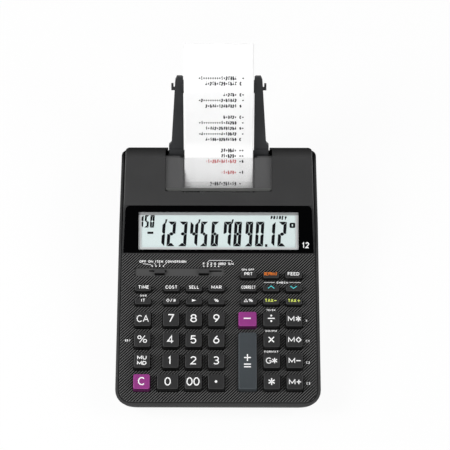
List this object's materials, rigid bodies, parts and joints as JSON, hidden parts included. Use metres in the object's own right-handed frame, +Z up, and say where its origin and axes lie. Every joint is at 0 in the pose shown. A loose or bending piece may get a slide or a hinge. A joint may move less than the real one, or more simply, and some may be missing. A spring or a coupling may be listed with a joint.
{
  "type": "desk calculator",
  "caption": "Wedge-shaped printing desk calculator with sprung keys, slide switches, a tilted display, a strip printer under a clear cover and a folding paper-roll holder",
  "frame": {"origin": "middle of the footprint on the surface it stands on, with the arms and the strip included", "axes": "+X to the right, +Y to the rear, +Z up"},
  "size_m": [0.165, 0.2764, 0.1233],
  "materials": {
    "case": "dark grey moulded ABS; a fine diagonal texture on the deck, smooth on the hood and sides",
    "window": "black-backed acrylic window, glossy, clear over the display",
    "lcd": "pale grey-green liquid crystal display in a silver bezel",
    "silicone": "silicone rubber dome sheet",
    "board": "green printed circuit board",
    "key": "dark grey key tops with fine grain and white legends",
    "key_purple": "purple key tops with white legends",
    "key_steel": "blue-grey key top with white legends",
    "knob": "dark grey slide-switch knobs",
    "clear_cover": "clear lightly smoked plastic",
    "frame_metal": "grey sheet-metal printer chassis",
    "roller": "black rubber platen on a steel axle",
    "head": "black print head carriage",
    "paper": "white plain paper, printed in black and red",
    "arm": "dark grey moulded arms",
    "foot": "black rubber feet"
  },
  "bodies": {
    "base": {"lower_case": "case", "upper_case": "case", "display_window": "window", "lcd_module": "lcd", "key_mat": "silicone", "circuit_board": "board", "printer_frame": "frame_metal", "paper_strip": "paper", "rubber_feet": "foot"},
    "key_clear": {"key_clear": "key_purple"},
    "key_0": {"key_0": "key"},
    "key_00": {"key_00": "key"},
    "key_point": {"key_point": "key"},
    "key_total": {"key_total": "key"},
    "key_memory_plus": {"key_memory_plus": "key"},
    "key_mark_up": {"key_mark_up": "key"},
    "key_1": {"key_1": "key"},
    "key_2": {"key_2": "key"},
    "key_3": {"key_3": "key"},
    "key_grand_total": {"key_grand_total": "key"},
    "key_memory_minus": {"key_memory_minus": "key"},
    "key_percent": {"key_percent": "key"},
    "key_4": {"key_4": "key"},
    "key_5": {"key_5": "key"},
    "key_6": {"key_6": "key"},
    "key_plus_equals": {"key_plus_equals": "key_steel"},
    "key_times": {"key_times": "key"},
    "key_memory_subtotal": {"key_memory_subtotal": "key"},
    "key_clear_all": {"key_clear_all": "key"},
    "key_7": {"key_7": "key"},
    "key_8": {"key_8": "key"},
    "key_9": {"key_9": "key"},
    "key_minus": {"key_minus": "key_purple"},
    "key_divide": {"key_divide": "key"},
    "key_memory_total": {"key_memory_total": "key"},
    "key_item_count": {"key_item_count": "key"},
    "key_subtotal": {"key_subtotal": "key"},
    "key_shift": {"key_shift": "key"},
    "key_percent_ratio": {"key_percent_ratio": "key"},
    "key_delta_percent": {"key_delta_percent": "key"},
    "key_tax_minus": {"key_tax_minus": "key"},
    "key_tax_plus": {"key_tax_plus": "key"},
    "key_time": {"key_time": "key"},
    "key_cost": {"key_cost": "key"},
    "key_sell": {"key_sell": "key"},
    "key_margin": {"key_margin": "key"},
    "key_correct": {"key_correct": "key"},
    "key_check_up": {"key_check_up": "key"},
    "key_check_down": {"key_check_down": "key"},
    "key_print": {"key_print": "key"},
    "key_reprint": {"key_reprint": "key"},
    "key_feed": {"key_feed": "key"},
    "print_switch": {"print_switch_knob": "knob"},
    "decimal_switch": {"decimal_switch_knob": "knob"},
    "printer_cover": {"printer_cover": "clear_cover"},
    "roll_holder": {"roll_holder": "arm"},
    "paper_roll": {"paper_roll": "paper"},
    "platen_roller": {"platen_roller": "roller"},
    "print_head": {"print_head": "head"},
    "battery_door": {"battery_door": "case"}
  },
  "joints": [
    {"name": "print_switch_slide", "type": "slide", "parent": "base", "child": "print_switch", "axis": [1, 0, 0], "range_m": [-0.0061, 0.00305]},
    {"name": "decimal_switch_slide", "type": "slide", "parent": "base", "child": "decimal_switch", "axis": [1, 0, 0], "range_m": [0, 0.0122]},
    {"name": "cover_hinge", "type": "hinge", "parent": "base", "child": "printer_cover", "pos_m": [0, 0.04006, 0.05148], "axis": [1, 0, 0], "range_deg": [0, 80]},
    {"name": "holder_fold", "type": "hinge", "parent": "base", "child": "roll_holder", "pos_m": [0, 0.07567, 0.04446], "axis": [1, 0, 0], "range_deg": [-49, 0], "deforming": ["paper_strip"]},
    {"name": "roll_spin", "type": "hinge", "parent": "roll_holder", "child": "paper_roll", "pos_m": [0, 0.11446, 0.0941], "axis": [1, 0, 0], "continuous": true},
    {"name": "platen_turn", "type": "hinge", "parent": "base", "child": "platen_roller", "pos_m": [0, 0.05117, 0.03896], "axis": [1, 0, 0], "continuous": true},
    {"name": "head_slide", "type": "slide", "parent": "base", "child": "print_head", "axis": [1, 0, 0], "range_m": [0, 0.044]},
    {"name": "door_hinge", "type": "hinge", "parent": "base", "child": "battery_door", "pos_m": [0, -0.03313, 0.00407], "axis": [1, 0, 0], "range_deg": [-70, 0]},
    {"name": "key_clear_press", "type": "slide", "parent": "base", "child": "key_clear", "axis": [0, 0.1478, -0.989], "range_m": [0, 0.002], "stiffness_N_per_m": 200, "springref_m": -0.0005},
    {"name": "key_0_press", "type": "slide", "parent": "base", "child": "key_0", "axis": [0, 0.1478, -0.989], "range_m": [0, 0.002], "stiffness_N_per_m": 200, "springref_m": -0.0005},
    {"name": "key_00_press", "type": "slide", "parent": "base", "child": "key_00", "axis": [0, 0.1478, -0.989], "range_m": [0, 0.002], "stiffness_N_per_m": 200, "springref_m": -0.0005},
    {"name": "key_point_press", "type": "slide", "parent": "base", "child": "key_point", "axis": [0, 0.1478, -0.989], "range_m": [0, 0.002], "stiffness_N_per_m": 200, "springref_m": -0.0005},
    {"name": "key_total_press", "type": "slide", "parent": "base", "child": "key_total", "axis": [0, 0.1478, -0.989], "range_m": [0, 0.002], "stiffness_N_per_m": 200, "springref_m": -0.0005},
    {"name": "key_memory_plus_press", "type": "slide", "parent": "base", "child": "key_memory_plus", "axis": [0, 0.1478, -0.989], "range_m": [0, 0.002], "stiffness_N_per_m": 200, "springref_m": -0.0005},
    {"name": "key_mark_up_press", "type": "slide", "parent": "base", "child": "key_mark_up", "axis": [0, 0.1478, -0.989], "range_m": [0, 0.002], "stiffness_N_per_m": 200, "springref_m": -0.0005},
    {"name": "key_1_press", "type": "slide", "parent": "base", "child": "key_1", "axis": [0, 0.1478, -0.989], "range_m": [0, 0.002], "stiffness_N_per_m": 200, "springref_m": -0.0005},
    {"name": "key_2_press", "type": "slide", "parent": "base", "child": "key_2", "axis": [0, 0.1478, -0.989], "range_m": [0, 0.002], "stiffness_N_per_m": 200, "springref_m": -0.0005},
    {"name": "key_3_press", "type": "slide", "parent": "base", "child": "key_3", "axis": [0, 0.1478, -0.989], "range_m": [0, 0.002], "stiffness_N_per_m": 200, "springref_m": -0.0005},
    {"name": "key_grand_total_press", "type": "slide", "parent": "base", "child": "key_grand_total", "axis": [0, 0.1478, -0.989], "range_m": [0, 0.002], "stiffness_N_per_m": 200, "springref_m": -0.0005},
    {"name": "key_memory_minus_press", "type": "slide", "parent": "base", "child": "key_memory_minus", "axis": [0, 0.1478, -0.989], "range_m": [0, 0.002], "stiffness_N_per_m": 200, "springref_m": -0.0005},
    {"name": "key_percent_press", "type": "slide", "parent": "base", "child": "key_percent", "axis": [0, 0.1478, -0.989], "range_m": [0, 0.002], "stiffness_N_per_m": 200, "springref_m": -0.0005},
    {"name": "key_4_press", "type": "slide", "parent": "base", "child": "key_4", "axis": [0, 0.1478, -0.989], "range_m": [0, 0.002], "stiffness_N_per_m": 200, "springref_m": -0.0005},
    {"name": "key_5_press", "type": "slide", "parent": "base", "child": "key_5", "axis": [0, 0.1478, -0.989], "range_m": [0, 0.002], "stiffness_N_per_m": 200, "springref_m": -0.0005},
    {"name": "key_6_press", "type": "slide", "parent": "base", "child": "key_6", "axis": [0, 0.1478, -0.989], "range_m": [0, 0.002], "stiffness_N_per_m": 200, "springref_m": -0.0005},
    {"name": "key_plus_equals_press", "type": "slide", "parent": "base", "child": "key_plus_equals", "axis": [0, 0.1478, -0.989], "range_m": [0, 0.002], "stiffness_N_per_m": 200, "springref_m": -0.0005},
    {"name": "key_times_press", "type": "slide", "parent": "base", "child": "key_times", "axis": [0, 0.1478, -0.989], "range_m": [0, 0.002], "stiffness_N_per_m": 200, "springref_m": -0.0005},
    {"name": "key_memory_subtotal_press", "type": "slide", "parent": "base", "child": "key_memory_subtotal", "axis": [0, 0.1478, -0.989], "range_m": [0, 0.002], "stiffness_N_per_m": 200, "springref_m": -0.0005},
    {"name": "key_clear_all_press", "type": "slide", "parent": "base", "child": "key_clear_all", "axis": [0, 0.1478, -0.989], "range_m": [0, 0.002], "stiffness_N_per_m": 200, "springref_m": -0.0005},
    {"name": "key_7_press", "type": "slide", "parent": "base", "child": "key_7", "axis": [0, 0.1478, -0.989], "range_m": [0, 0.002], "stiffness_N_per_m": 200, "springref_m": -0.0005},
    {"name": "key_8_press", "type": "slide", "parent": "base", "child": "key_8", "axis": [0, 0.1478, -0.989], "range_m": [0, 0.002], "stiffness_N_per_m": 200, "springref_m": -0.0005},
    {"name": "key_9_press", "type": "slide", "parent": "base", "child": "key_9", "axis": [0, 0.1478, -0.989], "range_m": [0, 0.002], "stiffness_N_per_m": 200, "springref_m": -0.0005},
    {"name": "key_minus_press", "type": "slide", "parent": "base", "child": "key_minus", "axis": [0, 0.1478, -0.989], "range_m": [0, 0.002], "stiffness_N_per_m": 200, "springref_m": -0.0005},
    {"name": "key_divide_press", "type": "slide", "parent": "base", "child": "key_divide", "axis": [0, 0.1478, -0.989], "range_m": [0, 0.002], "stiffness_N_per_m": 200, "springref_m": -0.0005},
    {"name": "key_memory_total_press", "type": "slide", "parent": "base", "child": "key_memory_total", "axis": [0, 0.1478, -0.989], "range_m": [0, 0.002], "stiffness_N_per_m": 200, "springref_m": -0.0005},
    {"name": "key_item_count_press", "type": "slide", "parent": "base", "child": "key_item_count", "axis": [0, 0.1478, -0.989], "range_m": [0, 0.002], "stiffness_N_per_m": 200, "springref_m": -0.0005},
    {"name": "key_subtotal_press", "type": "slide", "parent": "base", "child": "key_subtotal", "axis": [0, 0.1478, -0.989], "range_m": [0, 0.002], "stiffness_N_per_m": 200, "springref_m": -0.0005},
    {"name": "key_shift_press", "type": "slide", "parent": "base", "child": "key_shift", "axis": [0, 0.1478, -0.989], "range_m": [0, 0.002], "stiffness_N_per_m": 200, "springref_m": -0.0005},
    {"name": "key_percent_ratio_press", "type": "slide", "parent": "base", "child": "key_percent_ratio", "axis": [0, 0.1478, -0.989], "range_m": [0, 0.002], "stiffness_N_per_m": 200, "springref_m": -0.0005},
    {"name": "key_delta_percent_press", "type": "slide", "parent": "base", "child": "key_delta_percent", "axis": [0, 0.1478, -0.989], "range_m": [0, 0.002], "stiffness_N_per_m": 200, "springref_m": -0.0005},
    {"name": "key_tax_minus_press", "type": "slide", "parent": "base", "child": "key_tax_minus", "axis": [0, 0.1478, -0.989], "range_m": [0, 0.002], "stiffness_N_per_m": 200, "springref_m": -0.0005},
    {"name": "key_tax_plus_press", "type": "slide", "parent": "base", "child": "key_tax_plus", "axis": [0, 0.1478, -0.989], "range_m": [0, 0.002], "stiffness_N_per_m": 200, "springref_m": -0.0005},
    {"name": "key_time_press", "type": "slide", "parent": "base", "child": "key_time", "axis": [0, 0.1478, -0.989], "range_m": [0, 0.002], "stiffness_N_per_m": 200, "springref_m": -0.0005},
    {"name": "key_cost_press", "type": "slide", "parent": "base", "child": "key_cost", "axis": [0, 0.1478, -0.989], "range_m": [0, 0.002], "stiffness_N_per_m": 200, "springref_m": -0.0005},
    {"name": "key_sell_press", "type": "slide", "parent": "base", "child": "key_sell", "axis": [0, 0.1478, -0.989], "range_m": [0, 0.002], "stiffness_N_per_m": 200, "springref_m": -0.0005},
    {"name": "key_margin_press", "type": "slide", "parent": "base", "child": "key_margin", "axis": [0, 0.1478, -0.989], "range_m": [0, 0.002], "stiffness_N_per_m": 200, "springref_m": -0.0005},
    {"name": "key_correct_press", "type": "slide", "parent": "base", "child": "key_correct", "axis": [0, 0.1478, -0.989], "range_m": [0, 0.002], "stiffness_N_per_m": 200, "springref_m": -0.0005},
    {"name": "key_check_up_press", "type": "slide", "parent": "base", "child": "key_check_up", "axis": [0, 0.1478, -0.989], "range_m": [0, 0.002], "stiffness_N_per_m": 200, "springref_m": -0.0005},
    {"name": "key_check_down_press", "type": "slide", "parent": "base", "child": "key_check_down", "axis": [0, 0.1478, -0.989], "range_m": [0, 0.002], "stiffness_N_per_m": 200, "springref_m": -0.0005},
    {"name": "key_print_press", "type": "slide", "parent": "base", "child": "key_print", "axis": [0, 0.1478, -0.989], "range_m": [0, 0.002], "stiffness_N_per_m": 200, "springref_m": -0.0005},
    {"name": "key_reprint_press", "type": "slide", "parent": "base", "child": "key_reprint", "axis": [0, 0.1478, -0.989], "range_m": [0, 0.002], "stiffness_N_per_m": 200, "springref_m": -0.0005},
    {"name": "key_feed_press", "type": "slide", "parent": "base", "child": "key_feed", "axis": [0, 0.1478, -0.989], "range_m": [0, 0.002], "stiffness_N_per_m": 200, "springref_m": -0.0005}
  ],
  "couplings": [
    {"joint": "platen_turn", "follows": "roll_spin", "ratio": 1.97}
  ]
}
